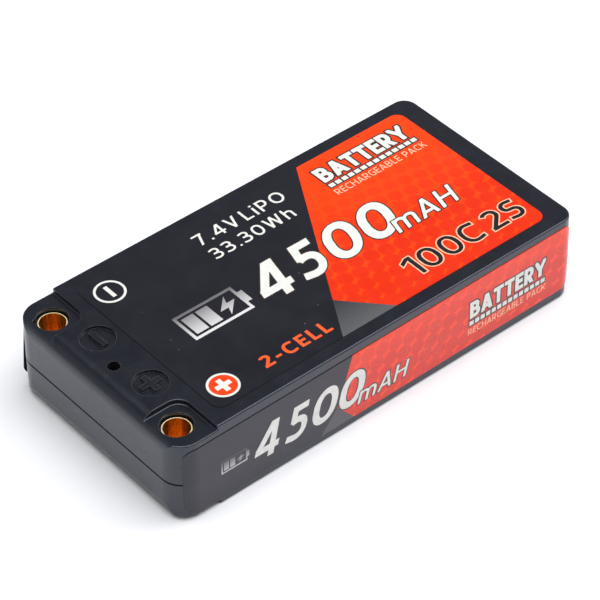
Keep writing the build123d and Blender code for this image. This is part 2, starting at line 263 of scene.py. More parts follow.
def halftone(g, x, y, radius, start):
    """Round dots on a slightly skewed square lattice that begins at start; 1 inside a dot."""
    along = HALFTONE_ALONG
    down = HALFTONE_DOWN
    area = along[0] * down[1] - along[1] * down[0]
    along_shift = -(start[0] * down[1] - start[1] * down[0]) / area
    down_shift = (start[0] * along[1] - start[1] * along[0]) / area
    softness = 0.16

    def lattice(cx, cy, shift):
        """A lattice coordinate, as the fraction of the cell that a point lies in."""
        partial = g.math("MULTIPLY_ADD", x, cx, shift)
        return g.math("FRACT", g.math("MULTIPLY_ADD", y, cy, partial))

    s = lattice(down[1] / area, -down[0] / area, along_shift)
    t = lattice(-along[1] / area, along[0] / area, down_shift)
    nearest = None
    for i in (0, 1):
        for j in (0, 1):
            ds = g.math("SUBTRACT", s, float(i))
            dt = g.math("SUBTRACT", t, float(j))
            dx = g.math("MULTIPLY_ADD", ds, along[0], g.math("MULTIPLY", dt, down[0]))
            dy = g.math("MULTIPLY_ADD", ds, along[1], g.math("MULTIPLY", dt, down[1]))
            squares = g.math("MULTIPLY_ADD", dx, dx, g.math("MULTIPLY", dy, dy))
            nearest = squares if nearest is None else g.math("MINIMUM", nearest, squares)
    edge = g.math("SUBTRACT", radius, g.math("SQRT", nearest))
    return g.span(edge, -softness, softness, smooth=True)


def film_surface(g, colour, gloss=(0.18, 0.27)):
    """A laminated sticker's surface: slight ripples, fine dust pits and smears."""
    smear = g.noise(0.12, 4.0, 0.6, distortion=0.8)
    roughness = g.span(smear, 0.3, 0.7, gloss[0], gloss[1])
    ripple = g.bump(g.noise(0.10, 2.0, 0.45), 0.06)
    pits = g.bump(g.noise(6.0, 2.0, 0.5), 0.0025, ripple)
    g.shade(Base_Color=colour, Roughness=roughness, Normal=pits, IOR=1.55)
    g.shade(Specular_Tint=(0.87, 0.87, 1.0, 1.0))
    return g.material


def label_colours(g, x, y, black_edge, grey_line, grey_fade, dot_radius, dot_strength, start):
    """Black, grey and orange zones of a label, with the halftone on the orange."""
    black_cloud = g.noise(0.14, 4.0, 0.6)
    black = g.mix(black_cloud, (0.0088, 0.0087, 0.0132), (0.0125, 0.0124, 0.0178))
    black = g.specks(black, (0.28, 0.28, 0.29))
    grey = g.mix(grey_fade, (0.030, 0.031, 0.034), (0.105, 0.107, 0.112))
    grey_grain = g.span(g.noise(3.0, 2.0, 0.6), 0.3, 0.7, 0.0, 0.35)
    grey = g.mix(grey_grain, grey, (0.045, 0.046, 0.049))
    dots = g.math("MULTIPLY", halftone(g, x, y, dot_radius, start), dot_strength)
    orange = g.mix(dots, (0.90, 0.048, 0.0003), (0.64, 0.022, 0.001))
    patch = g.noise(0.35, 3.0, 0.6)
    orange = g.mix(g.span(patch, 0.35, 0.7, 0.0, 0.10), orange, (0.96, 0.062, 0.001))
    colour = g.mix(grey_line, grey, orange)
    return g.mix(black_edge, black, colour)


def top_print():
    """The top label: a slanted black zone, a grey triangle and orange with fading dots."""
    g = Graph("top_print")
    x, y, _ = g.axes()
    past_black = beyond_line(g, x, y, TOP_BLACK_EDGE)
    past_grey = beyond_line(g, x, y, TOP_GREY_EDGE)
    grey_fade = g.span(y, -12.0, -20.5)
    dot_radius = g.span(y, 8.0, -19.0, 1.35, 1.80)
    dot_strength = g.span(y, 12.0, -6.0, 0.20, 1.0)
    colour = label_colours(
        g, x, y, past_black, past_grey, grey_fade, dot_radius, dot_strength, TOP_DOTS_START
    )
    return film_surface(g, colour)


def side_print():
    """Both side labels: black, then a grey triangle under the bend, then orange with dots."""
    g = Graph("side_print")
    x, _, z = g.axes()
    above = g.span(z, SIDE_BEND[1] - 0.05, SIDE_BEND[1] + 0.05)
    below = g.math("SUBTRACT", 1.0, above)
    upper = g.math("MULTIPLY", beyond_line(g, x, z, SIDE_UPPER_EDGE), above)
    lower = g.math("MULTIPLY", beyond_line(g, x, z, SIDE_LOWER_EDGE), below)
    past_black = g.math("ADD", upper, lower)
    past_grey = g.math("MAXIMUM", beyond_line(g, x, z, SIDE_GREY_EDGE), above)
    dot_radius = g.span(z, 16.0, 1.0, 1.55, 1.76)
    dot_strength = g.span(z, 16.5, 11.0, 0.45, 1.0)
    grey_fade = g.span(z, 7.0, 1.0, 0.3, 0.8)
    colour = label_colours(
        g, x, z, past_black, past_grey, grey_fade, dot_radius, dot_strength, SIDE_DOTS_START
    )
    return film_surface(g, colour, (0.24, 0.34))


def ink(name, dark, light):
    """Printed ink under the same laminate, very slightly uneven."""
    g = Graph(name)
    mottle = g.noise(0.9, 4.0, 0.65)
    colour = g.mix(g.span(mottle, 0.3, 0.7), dark, light)
    return film_surface(g, colour, (0.20, 0.32))


def silver_ink(name, axis, head, foot, dark, bright, brushing):
    """Metallic ink that fades along one axis from dark at its head to bright at its foot."""
    g = Graph(name)
    brushed = g.noise(1.0, 3.0, 0.6, g.stretched(0.35, 7.0, 7.0))
    fade = g.span(g.axes()[axis], head, foot, 0.0, 1.0)
    shade = g.mix(fade, dark, bright)
    colour = g.mix(g.span(brushed, 0.3, 0.7, 0.0, 0.30), shade, brushing)
    return film_surface(g, colour)


def metal(name, dark, light, roughness, grain):
    """A plated or rolled metal: tone varies a little, fine scratches catch the light."""
    g = Graph(name)
    cloud = g.noise(0.7, 4.0, 0.6)
    colour = g.mix(g.span(cloud, 0.3, 0.7), dark, light)
    streaks = g.noise(1.0, 3.0, 0.6, g.stretched(*grain))
    uneven = g.span(streaks, 0.3, 0.7, roughness[0], roughness[1])
    normal = g.bump(streaks, 0.004)
    g.shade(Base_Color=colour, Roughness=uneven, Normal=normal, Metallic=1.0)
    return g.material


def gold_plating():
    """Gold plating drawn down each tube; the rim is matt and painted pale, a painted highlight that
    partly also stands for wear from plugs.
    """
    g = Graph("gold_plating")
    _, _, z = g.axes()
    cloud = g.noise(0.7, 4.0, 0.6)
    streaks = g.noise(1.0, 2.0, 0.5, g.stretched(1.6, 1.6, 0.08))
    colour = g.mix(g.span(cloud, 0.3, 0.7), (0.92, 0.52, 0.13), (0.98, 0.64, 0.22))
    # Pale rim colour: a painted highlight, partly also plug wear; the extra roughness there is the
    # matt finish from wear.
    rim_highlight_and_rub = g.span(z, SOCKET_RIM_Z - 0.12, SOCKET_RIM_Z - 0.04)
    colour = g.mix(rim_highlight_and_rub, colour, (1.0, 0.86, 0.52))
    drawn = g.span(streaks, 0.3, 0.7, 0.18, 0.32)
    roughness = g.math("MULTIPLY_ADD", rim_highlight_and_rub, 0.34, drawn)
    g.shade(Base_Color=colour, Roughness=roughness, Normal=g.bump(streaks, 0.002), Metallic=1.0)
    return g.material


def circuit_board():
    """Green solder mask over glass cloth."""
    g = Graph("circuit_board")
    warp = g.noise(1.0, 2.0, 0.5, g.stretched(0.6, 4.0, 1.0))
    weft = g.noise(1.0, 2.0, 0.5, g.stretched(4.0, 0.6, 1.0))
    weave = g.math("ADD", warp, weft)
    colour = g.mix(g.span(weave, 0.8, 1.2), (0.010, 0.060, 0.025), (0.018, 0.105, 0.042))
    roughness = g.span(g.noise(0.5, 3.0, 0.6), 0.3, 0.7, 0.25, 0.42)
    g.shade(Base_Color=colour, Roughness=roughness, Normal=g.bump(weave, 0.01))
    return g.material


def pouch_foil():
    """Aluminium laminate: soft creases and pressed dimples."""
    g = Graph("pouch_foil")
    crease = g.noise(0.35, 4.0, 0.6, distortion=1.2)
    colour = g.mix(crease, (0.48, 0.49, 0.51), (0.66, 0.67, 0.69))
    roughness = g.span(g.noise(2.0, 3.0, 0.6), 0.3, 0.7, 0.26, 0.42)
    rough = g.bump(g.cells(3.0), 0.008)
    g.shade(Base_Color=colour, Roughness=roughness, Normal=g.bump(crease, 0.12, rough), Metallic=0.9)
    return g.material


def coated(name, dark, light, per_mm, roughness, depth):
    """A simple non-metal surface with its own scale of mottling and relief."""
    g = Graph(name)
    mottle = g.noise(per_mm, 4.0, 0.6)
    colour = g.mix(g.span(mottle, 0.3, 0.7), dark, light)
    uneven = g.span(g.noise(per_mm * 2.3, 3.0, 0.6), 0.3, 0.7, roughness[0], roughness[1])
    g.shade(Base_Color=colour, Roughness=uneven, Normal=g.bump(mottle, depth))
    return g.material


def foam():
    """Open-cell foam: pores from packed cells."""
    g = Graph("foam")
    pores = g.cells(2.6)
    colour = g.mix(g.span(pores, 0.1, 0.6), (0.030, 0.030, 0.033), (0.085, 0.085, 0.090))
    roughness = g.span(pores, 0.0, 0.6, 0.80, 0.95)
    g.shade(Base_Color=colour, Roughness=roughness, Normal=g.bump(pores, 0.15))
    return g.material


finishes = {
    "case_plastic": case_plastic(),
    "top_print": top_print(),
    "side_print": side_print(),
    "gold_plating": gold_plating(),
    "circuit_board": circuit_board(),
    "copper_foil": metal(
        "copper_foil", (0.72, 0.33, 0.18), (0.84, 0.45, 0.27), (0.22, 0.36), (4.0, 0.6, 1.0)
    ),
    "solder": metal("solder", (0.50, 0.50, 0.52), (0.64, 0.64, 0.65), (0.20, 0.40), (1.5, 1.5, 1.5)),
    "pouch_foil": pouch_foil(),
    "nickel_strip": metal(
        "nickel_strip", (0.56, 0.54, 0.50), (0.68, 0.66, 0.62), (0.18, 0.32), (0.5, 5.0, 0.5)
    ),
    "tab_film": coated("tab_film", (0.62, 0.62, 0.55), (0.76, 0.76, 0.70), 0.8, (0.25, 0.4), 0.02),
    "polyimide_tape": coated(
        "polyimide_tape", (0.50, 0.19, 0.018), (0.62, 0.27, 0.030), 0.5, (0.12, 0.24), 0.03
    ),
    "double_sided_tape": coated(
        "double_sided_tape", (0.66, 0.66, 0.62), (0.80, 0.80, 0.76), 1.5, (0.55, 0.75), 0.02
    ),
    "foam": foam(),
    "adhesive": coated(
        "adhesive", (0.012, 0.012, 0.014), (0.030, 0.030, 0.033), 1.2, (0.3, 0.5), 0.05
    ),
}

for part in frame["record"]["subparts"]:
    materials = nodes[part["node"]].data.materials
    materials.clear()
    materials.append(finishes[part["material_slot"]])

white_ink = ink("white_ink", (0.62, 0.63, 0.60), (0.72, 0.73, 0.69))
black_ink = ink("black_ink", (0.0070, 0.0060, 0.0080), (0.0120, 0.0105, 0.0130))
outline_ink = ink("outline_ink", (0.030, 0.016, 0.014), (0.050, 0.026, 0.020))
orange_ink = ink("orange_ink", (0.70, 0.080, 0.016), (0.86, 0.110, 0.024))
mark_orange_ink = ink("mark_orange_ink", (0.80, 0.040, 0.002), (0.88, 0.052, 0.003))
pale_ink = ink("pale_ink", (0.80, 0.42, 0.26), (0.92, 0.52, 0.34))
silver = silver_ink(
    "silver_ink", "Y", 2.9, -4.2, (0.055, 0.055, 0.058), (0.68, 0.68, 0.69), (0.30, 0.30, 0.31)
)
side_silver = silver_ink(
    "side_silver_ink", "Z", 10.0, 6.9, (0.035, 0.035, 0.038), (0.60, 0.60, 0.61), (0.20, 0.20, 0.21)
)


# ================================================================ printed pieces
def bow(cx, cy, rx, ry, start, end, squareness=2.25, steps=26):
    """Points along a slightly squared ellipse, between two angles in degrees."""
    points = []
    for i in range(steps + 1):
        turn = math.radians(start + (end - start) * i / steps)
        across = math.cos(turn)
        up = math.sin(turn)
        points.append((
            cx + rx * math.copysign(abs(across) ** (2 / squareness), across),
            cy + ry * math.copysign(abs(up) ** (2 / squareness), up),
        ))
    return points


def slant(foot, head):
    """A straight stroke through (foot, 0) and (head, 1) that runs past both."""
    past = 0.2
    run = past * (head - foot)
    return [(foot - run, -past), (head + run, 1 + past)]


def letters(h):
    """Each letter's width and its strokes' centre lines, one unit high; h is half a stroke."""
    top = 1 - h
    waist = 0.52
    upper = (top + waist) / 2
    upper_r = (top - waist) / 2
    lower = (waist + h) / 2
    lower_r = (waist - h) / 2
    arch = 0.45
    arch_r = 0.74 - h - arch
    bowl = (top + 0.42) / 2
    bowl_r = (top - 0.42) / 2
    stem = slant(h, h)
    side = h * 1.06
    open_round = bow(0.38, 0.5, 0.38 - h, 0.5 - h, 78, 282)
    open_round = [(0.68, top - 0.05)] + open_round + [(0.68, h + 0.05)]
    head = [(h, top)] + bow(0.30, bowl, 0.30 - h, bowl_r, 90, -90) + [(h, 0.42)]
    return {
        " ": (0.26, []),
        ".": (2 * h, [[(h, -0.2), (h, 2 * h)]]),
        "-": (0.34, [[(0.0, 0.38), (0.34, 0.38)]]),
        "0": (0.68, [bow(0.34, 0.5, 0.34 - h, 0.5 - h, 0, 360)]),
        "1": (0.42, [slant(0.42 - h, 0.42 - h), [(-0.15, 0.68), (0.42 - h, 1.0 - h * 0.4)]]),
        "2": (0.62, [
            bow(0.31, 0.70, 0.30 - h, 0.30 - h, 150, -25) + [(h * 0.95, h)],
            [(0.01, h), (0.62, h)],
        ]),
        "3": (0.62, [
            [(0.03, top - 0.05)] + bow(0.28, upper, 0.29 - h, upper_r, 95, -90),
            bow(0.28, lower, 0.34 - h, lower_r, 90, -95) + [(0.01, h + 0.05)],
            [(0.15, waist), (0.30, waist)],
        ]),
        "4": (0.70, [slant(0.50, 0.50), [(-0.1, 0.27), (0.9, 0.27)], [(0.065, 0.27), (0.505, 1.08)]]),
        "5": (0.62, [
            [(0.09, top), (0.57, top)],
            [(0.09 + h, top), (0.07 + h, 0.54)],
            bow(0.28, (0.59 + h) / 2, 0.34 - h, (0.59 - h) / 2, 128, -95) + [(0.01, h + 0.05)],
        ]),
        "7": (0.62, [[(-0.1, top), (0.9, top)], slant(0.19, 0.60 - h)]),
        "A": (0.74, [slant(side, 0.37), slant(0.74 - side, 0.37), [(0.15, 0.27), (0.59, 0.27)]]),
        "B": (0.64, [
            stem,
            [(h, top)] + bow(0.30, upper, 0.29 - h, upper_r, 90, -90) + [(h, waist)],
            [(h, waist)] + bow(0.30, lower, 0.34 - h, lower_r, 90, -90) + [(h, h)],
        ]),
        "C": (0.66, [open_round]),
        "E": (0.52, [stem, [(h, h), (0.52, h)], [(h, 0.51), (0.48, 0.51)], [(h, top), (0.52, top)]]),
        "G": (0.70, [open_round, [(0.70 - h, 0.07), (0.70 - h, 0.50)], [(0.42, 0.48), (0.70, 0.48)]]),
        "H": (0.68, [stem, slant(0.68 - h, 0.68 - h), [(h, 0.52), (0.68 - h, 0.52)]]),
        "K": (0.62, [stem, [(h, 0.36), (0.66, 1.08)], [(0.24, 0.52), (0.66, -0.1)]]),
        "L": (0.50, [stem, [(h, h), (0.50, h)]]),
        "O": (0.80, [bow(0.40, 0.5, 0.40 - h, 0.5 - h, 0, 360, 2.1)]),
        "P": (0.60, [stem, head]),
        "R": (0.64, [stem, head, [(0.27, 0.46), (0.68 - h, -0.15)]]),
        "S": (0.60, [
            [(0.55, top - 0.04)] + bow(0.30, upper, 0.28 - h, upper_r, 85, 270)
            + bow(0.30, lower, 0.30 - h, lower_r, 90, -95) + [(0.03, h + 0.05)],
        ]),
        "T": (0.64, [[(-0.1, top), (0.8, top)], slant(0.32, 0.32)]),
        "V": (0.70, [slant(0.35, side), slant(0.35, 0.70 - side)]),
        "W": (1.06, [
            slant(0.27, side), slant(0.27, 0.53), slant(0.79, 0.53), slant(0.79, 1.06 - side),
        ]),
        "Y": (0.68, [
            [(-0.01, 1.1), (0.34, 0.42)], [(0.69, 1.1), (0.34, 0.42)], [(0.34, 0.48), (0.34, -0.2)],
        ]),
        "h": (0.58, [stem, bow(0.29, arch, 0.29 - h, arch_r, 180, 0) + [(0.58 - h, -0.2)]]),
        "i": (2 * h, [[(h, -0.2), (h, 0.72)], [(h, 0.86), (h, 1.2)]]),
        "m": (0.94, [
            [(h, -0.2), (h, 0.74)],
            bow((0.47 + h) / 2, arch, (0.47 - h) / 2, arch_r, 180, 0) + [(0.47, -0.2)],
            bow((1.41 - h) / 2, arch, (0.47 - h) / 2, arch_r, 180, 0) + [(0.94 - h, -0.2)],
        ]),
    }


def stroke_distance(points, h, x, y):
    """Signed distance to a stroke's edge, with square-cut ends unless it closes on itself."""
    nearest = np.full(x.shape, 1e9)
    for (x0, y0), (x1, y1) in zip(points, points[1:]):
        dx = x1 - x0
        dy = y1 - y0
        length_squared = dx * dx + dy * dy
        if length_squared < 1e-12:
            continue
        share = np.clip(((x - x0) * dx + (y - y0) * dy) / length_squared, 0.0, 1.0)
        nearest = np.minimum(nearest, np.hypot(x - x0 - share * dx, y - y0 - share * dy))
    distance = nearest - h
    closed = math.dist(points[0], points[-1]) < 1e-6
    if not closed:
        for end, inner in ((points[0], points[1]), (points[-1], points[-2])):
            length = math.dist(end, inner)
            ahead = ((x - end[0]) * (end[0] - inner[0]) + (y - end[1]) * (end[1] - inner[1])) / length
            close_by = np.hypot(x - end[0], y - end[1]) < 1.5 * h
            distance = np.where(close_by, np.maximum(distance, ahead), distance)
    return distance


def letter_field(text, style, margin, step):
    """The signed distance to a line of letters on a grid, with the grid's x and y."""
    stroke, gap = style
    h = stroke / 2
    reach = 2 * margin
    shapes = letters(h)
    length = sum(shapes[c][0] for c in text) + gap * (len(text) - 1)
    xs = np.arange(-margin, length + margin + step, step)
    ys = np.arange(-margin, 1 + margin + step, step)
    x, y = np.meshgrid(xs, ys, indexing="ij")
    field = np.full(x.shape, 1e3)
    pen = 0.0
    for character in text:
        width, strokes = shapes[character]
        low = max(int((pen - reach + margin) / step), 0)
        high = int((pen + width + reach + margin) / step) + 1
        local_x = x[low:high] - pen
        local_y = y[low:high]
        letter = np.full(local_x.shape, 1e3)
        for points in strokes:
            letter = np.minimum(letter, stroke_distance(points, h, local_x, local_y))
        for limit in (-local_y, local_y - 1, -local_x, local_x - width):
            letter = np.maximum(letter, limit)
        field[low:high] = np.minimum(field[low:high], letter)
        pen += width + gap
    return field, xs, ys


def traced(field, xs, ys, level):
    """Closed outlines of the region where the field is under the level."""
    inside = field < level
    mixed = inside[:-1, :-1].astype(int) + inside[1:, :-1] + inside[:-1, 1:] + inside[1:, 1:]
    after = {}
    place = {}
    for i, j in np.argwhere((mixed > 0) & (mixed < 4)):
        corners = ((i, j), (i + 1, j), (i + 1, j + 1), (i, j + 1))
        crossings = []
        for a, b in zip(corners, corners[1:] + corners[:1]):
            if inside[a] == inside[b]:
                continue
            key = (min(a, b), max(a, b))
            if key not in place:
                share = (level - field[a]) / (field[b] - field[a])
                place[key] = (
                    xs[a[0]] + share * (xs[b[0]] - xs[a[0]]),
                    ys[a[1]] + share * (ys[b[1]] - ys[a[1]]),
                )
            crossings.append((key, bool(inside[a])))
        for index, (key, leaving) in enumerate(crossings):
            if leaving:
                after[key] = crossings[index - 1][0]
    loops = []
    while after:
        start, following = after.popitem()
        loop = [place[start]]
        while following != start:
            loop.append(place[following])
            following = after.pop(following)
        loops.append(loop)
    return loops


def thinned(loop, tolerance=0.0012):
    """Drop the points that lie on a straight run between their neighbours."""
    kept = [loop[0]]
    for point, following in zip(loop[1:], loop[2:] + loop[:1]):
        x0, y0 = kept[-1]
        run = math.dist(kept[-1], following)
        area = (following[0] - x0) * (point[1] - y0) - (following[1] - y0) * (point[0] - x0)
        if abs(area) > tolerance * max(run, 1e-9):
            kept.append(point)
    return kept


def filled(loops):
    """Flat faces inside closed outlines, with their holes left open."""
    curve = bpy.data.curves.new("outline", "CURVE")
    curve.dimensions = "2D"
    curve.fill_mode = "FRONT"
    for loop in loops:
        spline = curve.splines.new("POLY")
        spline.points.add(len(loop) - 1)
        for point, (x, y) in zip(spline.points, loop):
            point.co = (x, y, 0.0, 1.0)
        spline.use_cyclic_u = True
    holder = bpy.data.objects.new("outline", curve)
    bpy.context.scene.collection.objects.link(holder)
    bpy.context.view_layer.update()
    mesh = bpy.data.meshes.new_from_object(holder)
    points = [(v.co.x, v.co.y) for v in mesh.vertices]
    faces = [tuple(p.vertices) for p in mesh.polygons]
    bpy.data.objects.remove(holder)
    bpy.data.curves.remove(curve)
    bpy.data.meshes.remove(mesh)
    return points, faces


def leaned(points, lean):
    """Points slanted sideways in proportion to their height."""
    return [(x + lean * y, y) for x, y in points]


def extent(points):
    """The left, right, low and high edge of the points."""
    xs = [p[0] for p in points]
    ys = [p[1] for p in points]
    return min(xs), max(xs), min(ys), max(ys)


def fitted(points, box, into, tilt=0.0):
    """Carry points so that box, in letter heights, lands on into, in millimetres."""
    x0, x1, y0, y1 = box
    left, right, low, high = into
    middle = (left + right) / 2
    placed = []
    for x, y in points:
        px = left + (x - x0) / (x1 - x0) * (right - left)
        py = low + (y - y0) / (y1 - y0) * (high - low)
        placed.append((px, py + (px - middle) * tilt))
    return placed


def word(text, into, style, outline=0.0, lean=0.0, tilt=0.0):
    """A text's fill and, if outline (in mm) is over 0, the wider shape that shows round it."""
    height = into[3] - into[2]
    margin = outline / height + 0.04
    large = height > 3.5
    step = 0.012 if large else 0.022
    field, xs, ys = letter_field(text, style, margin, step)
    points, faces = filled([thinned(loop) for loop in traced(field, xs, ys, 0.0)])
    points = leaned(points, lean)
    box = extent(points)
    fill = (fitted(points, box, into, tilt), faces)
    if not outline:
        return fill, None
    wide_points, wide_faces = filled([thinned(p) for p in traced(field, xs, ys, outline / height)])
    wide = (fitted(leaned(wide_points, lean), box, into, tilt), wide_faces)
    return fill, wide


# Flat shapes: each gives its points and the faces over them.
ROUND_STEPS = 72     # corners of a disc or ring


def rectangle(left, right, low, high):
    return [(left, low), (right, low), (right, high), (left, high)], [(0, 1, 2, 3)]


def disc(x, y, radius):
    turns = [math.tau * i / ROUND_STEPS for i in range(ROUND_STEPS)]
    points = [(x + radius * math.cos(turn), y + radius * math.sin(turn)) for turn in turns]
    return points, [tuple(range(ROUND_STEPS))]


def ring(x, y, outer, inner):
    points = disc(x, y, outer)[0] + disc(x, y, inner)[0]
    faces = []
    for i in range(ROUND_STEPS):
        j = (i + 1) % ROUND_STEPS
        faces.append((i, j, ROUND_STEPS + j, ROUND_STEPS + i))
    return points, faces


def block_row(left, right, low, high):
    """A dashed rule under the name: equal blocks with narrow gaps."""
    count = 14
    gap = 0.35
    width = (right - left + gap) / count - gap
    lefts = [left + i * (width + gap) for i in range(count)]
    return [rectangle(x, x + width, low, high) for x in lefts]


def polygon(*points):
    return list(points), [tuple(range(len(points)))]


def cross(x, y, length, width):
    """An upright plus sign."""
    h = length / 2
    w = width / 2
    return polygon(
        (x - h, y - w), (x - w, y - w), (x - w, y - h), (x + w, y - h), (x + w, y - w), (x + h, y - w),
        (x + h, y + w), (x + w, y + w), (x + w, y + h), (x - w, y + h), (x - w, y + w), (x - h, y + w),
    )


def on_top(u, v, height):
    """Place on the top label: u along the pack, v across it."""
    return (u, v, LABEL_TOP_Z + height)


def on_near_side(u, v, height):
    """Place on the near side label: u to the right as it is read, v up, with the wall's draft."""
    return (u, -(SIDE_SKIN_Y - DRAFT * abs(v - PARTING_Z) + height), v)


def on_far_side(u, v, height):
    """The same on the far side label, which is read from behind."""
    return (-u, SIDE_SKIN_Y - DRAFT * abs(v - PARTING_Z) + height, v)


def print_layer(name, shapes, surface, height, material):
    """One ink: flat shapes laid on a face of the pack as a closed film that ends at height."""
    bm = bmesh.new()
    for points, faces in shapes:
        verts = [bm.verts.new((x, y, 0.0)) for x, y in points]
        for face in faces:
            bm.faces.new([verts[i] for i in face])
    bmesh.ops.remove_doubles(bm, verts=bm.verts, dist=1e-5)
    if surface is not on_top:
        everything = bm.verts[:] + bm.edges[:] + bm.faces[:]
        bmesh.ops.bisect_plane(bm, geom=everything, plane_co=(0, PARTING_Z, 0), plane_no=(0, 1, 0))
    for face in bm.faces:
        if face.normal.z < 0:
            face.normal_flip()
    for vert in bm.verts:
        vert.co.z = FILM_FOOT
    lifted = bmesh.ops.extrude_face_region(bm, geom=bm.faces[:])
    for element in lifted["geom"]:
        if isinstance(element, bmesh.types.BMVert):
            element.co.z = height
    for vert in bm.verts:
        vert.co = Vector(surface(*vert.co)) * MM
    bmesh.ops.recalc_face_normals(bm, faces=bm.faces)
    mesh = bpy.data.meshes.new(name)
    bm.to_mesh(mesh)
    bm.free()
    mesh.materials.append(material)
    piece = bpy.data.objects.new(name, mesh)
    bpy.context.scene.collection.objects.link(piece)
    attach(piece, "root")
    return piece


def battery_badge(left, right, low, high, line):
    """A generic battery symbol: a frame with a nub, two charge bars and a bolt."""
    height = high - low
    nub = (right - left) * 0.07
    body_right = right - nub
    middle = (low + high) / 2
    half_nub = height * 0.22
    gap = line * 0.9
    inner_left = left + line + gap
    inner_right = body_right - line - gap
    inner_low = low + line + gap
    inner_high = high - line - gap
    bar = (inner_right - inner_left) * 0.24
    bolt_left = inner_left + 2 * (bar + gap) + gap * 0.2
    bolt_width = inner_right - bolt_left
    upper_notch = middle + 0.08 * height
    lower_notch = middle - 0.08 * height
    frame_shapes = [
        rectangle(left, body_right, low, low + line),
        rectangle(left, body_right, high - line, high),
        rectangle(left, left + line, low + line, high - line),
        rectangle(body_right - line, body_right, low + line, high - line),
        rectangle(body_right, right, middle - half_nub, middle + half_nub),
        rectangle(inner_left, inner_left + bar, inner_low, inner_high),
        rectangle(inner_left + bar + gap, inner_left + 2 * bar + gap, inner_low, inner_high),
    ]
    bolt = polygon(
        (bolt_left + 0.30 * bolt_width, inner_low),
        (bolt_left + 0.95 * bolt_width, upper_notch),
        (bolt_left + 0.55 * bolt_width, upper_notch),
        (bolt_left + 0.70 * bolt_width, inner_high),
        (bolt_left + 0.05 * bolt_width, lower_notch),
        (bolt_left + 0.45 * bolt_width, lower_notch),
    )
    return frame_shapes + [bolt]


def digits(spans, low, high, tilt):
    """The capacity's big slanted digits, each between its own left and right."""
    fills = []
    outlines = []
    for character, (left, right) in zip(CAPACITY, spans):
        box = (left, right, low, high)
        fill, outline = word(character, box, DIGIT_STYLE, DIGIT_OUTLINE, ITALIC, tilt)
        fills.append(fill)
        outlines.append(outline)
    return fills, outlines


def ruled_name(box, outline, rule_low, rim, tilt=0.0):
    """The name over a dashed rule, and the dark shapes that show round both."""
    rule_high = rule_low + 1.0
    left, right = box[:2]
    name, name_outline = word(NAME, box, NAME_STYLE, outline, 0.0, tilt)
    rule_outline = rectangle(left - rim[0], right + rim[0], rule_low - rim[1], rule_high + rim[1])
    return [name] + block_row(left, right, rule_low, rule_high), [name_outline, rule_outline]


def print_top():
    """The top label's print, with every box as (left, right, low, high)."""
    mark_x = -30.95
    minus_y = 15.71
    plus_y = -16.23
    values_left = -10.97
    white = [
        ring(mark_x, minus_y, 3.02, 2.54),
        rectangle(mark_x - 0.40, mark_x + 0.40, minus_y - 1.6, minus_y + 1.6),
        ring(mark_x, plus_y, 3.02, 2.56),
        cross(mark_x, plus_y, 3.25, 1.0),
    ]
    for text, box in (
        ("7.4V", (values_left, -1.2, 14.67, 17.74)),
        ("LiPO", (0.08, 9.70, 14.67, 17.74)),
        ("33.30Wh", (values_left, 8.01, 9.92, 12.89)),
    ):
        white.append(word(text, box, VALUE_STYLE)[0])
    spans = ((-11.27, -3.55), (-2.37, 4.95), (5.74, 13.65), (14.05, 21.96))
    fills, dark = digits(spans, -5.50, 3.99, 0.0)
    name, name_dark = ruled_name((17.9, 39.5, 13.5, 17.7), 0.32, 11.75, (0.3, 0.3))
    print_layer("top_white_print", white + fills + name, on_top, FILM, white_ink)
    print_layer("top_dark_outline", dark + name_dark, on_top, UNDER_FILM, outline_ink)
    unit, unit_outline = word("mAH", (18.79, 34.81, -6.29, -1.55), UNIT_STYLE, 0.22, ITALIC)
    print_layer("top_unit_outline", [unit_outline], on_top, OVER_OUTLINE, outline_ink)
    print_layer("top_unit_print", [unit], on_top, OVER_FILM, white_ink)
    rating = []
    rating_outline = []
    for text, left, right in (("100C", 13.06, 30.46), ("2S", 32.44, 40.65)):
        fill, wide = word(text, (left, right, -17.27, -12.03), RATING_STYLE, 0.24)
        rating.append(fill)
        rating_outline.append(wide)
    print_layer("top_rating_print", rating, on_top, FILM, black_ink)
    print_layer("top_rating_outline", rating_outline, on_top, UNDER_FILM, pale_ink)
    small = word(SMALL_PRINT, (17.61, 39.76, 9.23, 10.91), SMALL_STYLE)[0]
    print_layer("top_small_print", [small], on_top, UNDER_FILM, pale_ink)
    code = word("2-CELL", (-22.54, -7.21, -17.96, -15.00), CODE_STYLE)[0]
    print_layer("top_orange_print", [code], on_top, FILM, orange_ink)
    plus_ground = disc(mark_x, plus_y, 2.7)
    print_layer("top_mark_print", [plus_ground], on_top, UNDER_FILM, mark_orange_ink)
    badge = battery_badge(-27.29, -12.95, -4.41, 2.70, 0.62)
    print_layer("top_badge_print", badge, on_top, FILM, silver)


